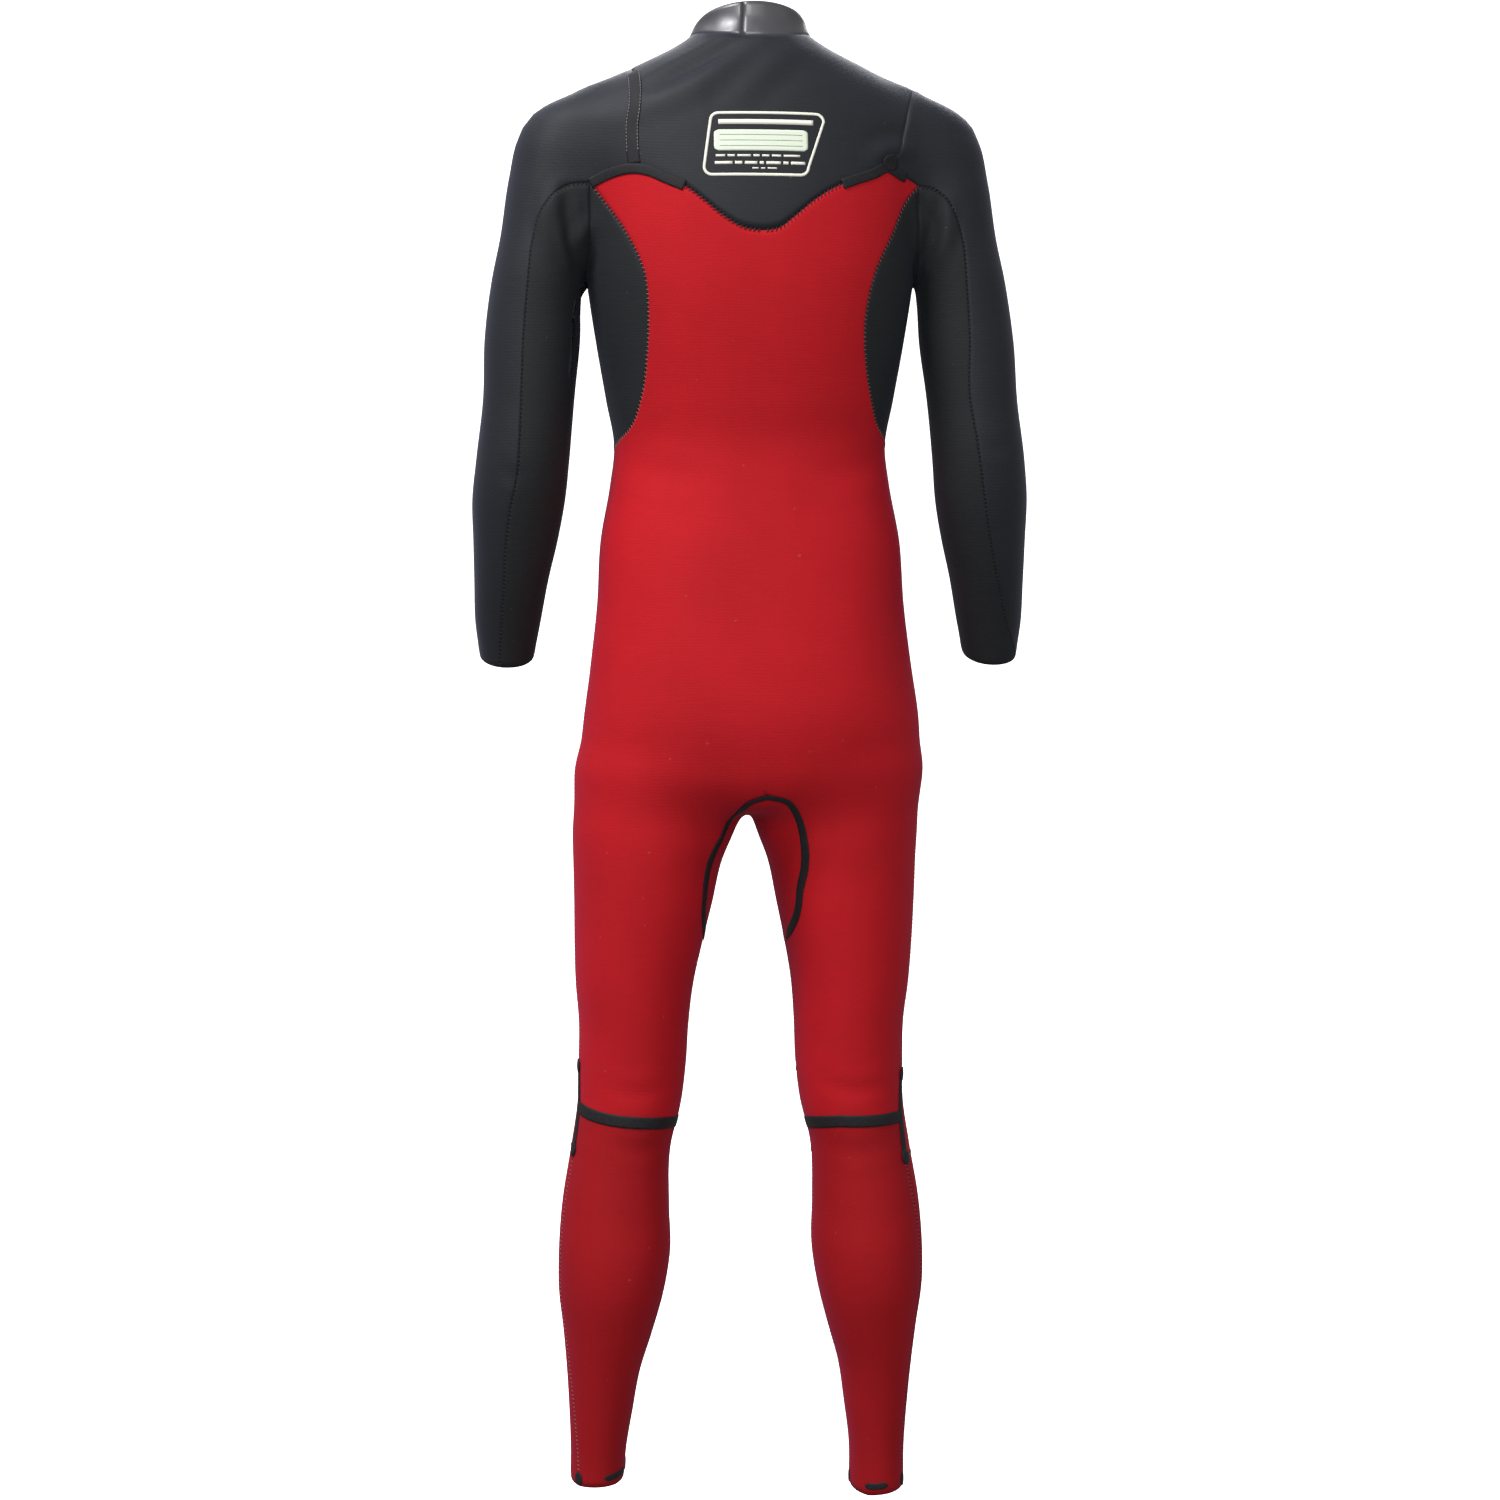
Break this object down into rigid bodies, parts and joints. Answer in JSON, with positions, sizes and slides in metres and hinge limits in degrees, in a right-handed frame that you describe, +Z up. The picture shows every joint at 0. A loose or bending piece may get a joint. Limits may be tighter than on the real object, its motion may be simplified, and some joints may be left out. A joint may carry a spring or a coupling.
{
  "type": "wetsuit",
  "caption": "Full-length neoprene wetsuit with long sleeves, turned inside out and filled out as worn, open at the neck, cuffs and ankles.",
  "frame": {"origin": "the middle of the collar's seam, where the wearer's neck holds the suit", "axes": "+Z is up, -Y is the way the wearer's back faces, +X is the wearer's right side"},
  "size_m": [0.5576, 0.2383, 1.4865],
  "materials": {
    "collar": "gloss",
    "jersey": "knitted",
    "under": "knitted",
    "red": "knitted",
    "calf": "knitted",
    "tape": "matt",
    "zip": "matt"
  },
  "bodies": {
    "root": {"body_back": "red", "body_front": "red", "calf_left": "calf", "calf_right": "calf", "collar": "collar", "gusset": "red", "knee_left": "red", "knee_right": "red", "patch_ankle_inner_left": "tape", "patch_ankle_inner_right": "tape", "patch_ankle_outer_left": "tape", "patch_ankle_outer_right": "tape", "patch_knee_end_left": "tape", "patch_knee_end_right": "tape", "patch_knee_top_left": "tape", "patch_knee_top_right": "tape", "patch_shoulder_right": "tape", "shin_left": "calf", "shin_right": "calf", "side_left": "under", "side_right": "under", "sleeve_outer_left": "jersey", "sleeve_outer_right": "jersey", "sleeve_under_left": "under", "sleeve_under_right": "under", "tape_ankle_left": "tape", "tape_ankle_right": "tape", "tape_arch_left": "tape", "tape_arch_right": "tape", "tape_crotch": "tape", "tape_knee_left": "tape", "tape_knee_right": "tape", "tape_knee_side_left": "tape", "tape_knee_side_right": "tape", "tape_shoulder_left": "tape", "yoke_back": "jersey", "yoke_front": "jersey", "zip_chain": "zip", "zip_slider": "zip", "zip_tape": "zip"}
  },
  "joints": []
}
